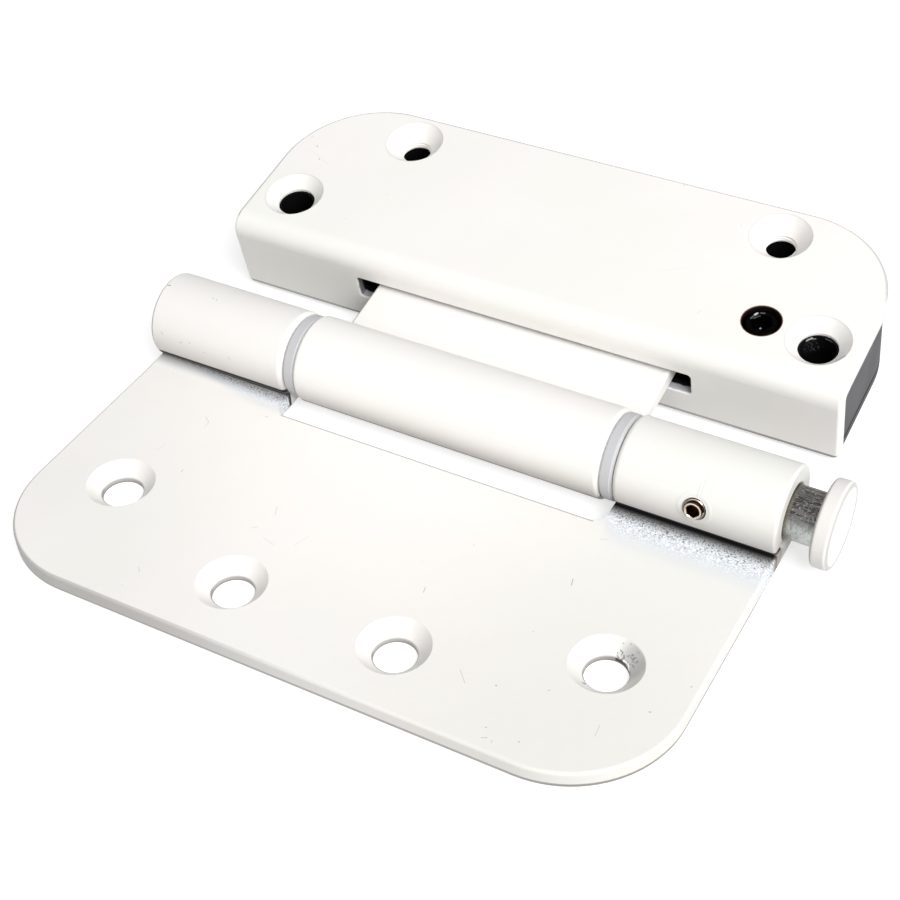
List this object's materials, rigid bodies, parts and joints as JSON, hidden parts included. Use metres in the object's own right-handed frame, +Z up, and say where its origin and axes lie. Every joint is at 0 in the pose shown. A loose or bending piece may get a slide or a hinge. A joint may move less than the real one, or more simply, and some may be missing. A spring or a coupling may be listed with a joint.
{
  "type": "adjustable door hinge",
  "caption": "Door hinge with a flat screw-on leaf, a box-shaped frame part that shifts along the pin, a rolled barrel and a removable pin with a round cap.",
  "frame": {"origin": "centre of the door leaf's flat underside, 30 mm from the pin's axis", "axes": "+X along the pin towards its cap, +Y from the door leaf across the pin to the box, +Z up from the surface that the leaf lies on"},
  "size_m": [0.1085, 0.102, 0.02],
  "materials": {
    "white_paint": "satin powder coat",
    "zinc_steel": "zinc plated",
    "nickel_steel": "dull nickel",
    "ring_plastic": "smooth",
    "housing_plastic": "fine grain",
    "zinc_casting": "as cast",
    "black_steel": "black oxide, oiled",
    "black_rubber": "smooth"
  },
  "bodies": {
    "door_side": {"door_leaf": "white_paint"},
    "frame_arm": {"slide_leaf": "white_paint", "bearing_ring_left": "ring_plastic", "bearing_ring_right": "ring_plastic", "carriage": "zinc_casting", "carriage_screws": "zinc_steel"},
    "frame_box": {"cover": "white_paint", "housing": "housing_plastic", "base_plate": "housing_plastic", "base_plate_screws": "zinc_steel"},
    "adjuster": {"adjuster_pinion": "black_steel", "adjuster_ring": "black_rubber"},
    "pin": {"hinge_pin": "zinc_steel", "pin_cap": "white_paint"},
    "locking_screw": {"set_screw": "nickel_steel"}
  },
  "joints": [
    {"name": "swing", "type": "hinge", "parent": "door_side", "child": "frame_arm", "pos_m": [0, 0.03, 0.00705], "axis": [1, 0, 0], "range_deg": [-129, 169.5]},
    {"name": "height_slide", "type": "slide", "parent": "frame_arm", "child": "frame_box", "axis": [1, 0, 0], "range_m": [-0.003, 0.003]},
    {"name": "adjuster_turn", "type": "hinge", "parent": "frame_box", "child": "adjuster", "pos_m": [0.0354, 0.0568, 0.01199], "axis": [0, -0.1814, 0.9834], "range_deg": [-48, 48]},
    {"name": "pin_draw", "type": "slide", "parent": "door_side", "child": "pin", "axis": [1, 0, 0], "range_m": [-0.0043, 0.098]},
    {"name": "set_screw_travel", "type": "slide", "parent": "door_side", "child": "locking_screw", "axis": [0, -0.9877, 0.1564], "range_m": [-0.00025, 0.002]}
  ],
  "couplings": [
    {"joint": "adjuster_turn", "follows": "height_slide", "rad_per_m": 277.78}
  ]
}
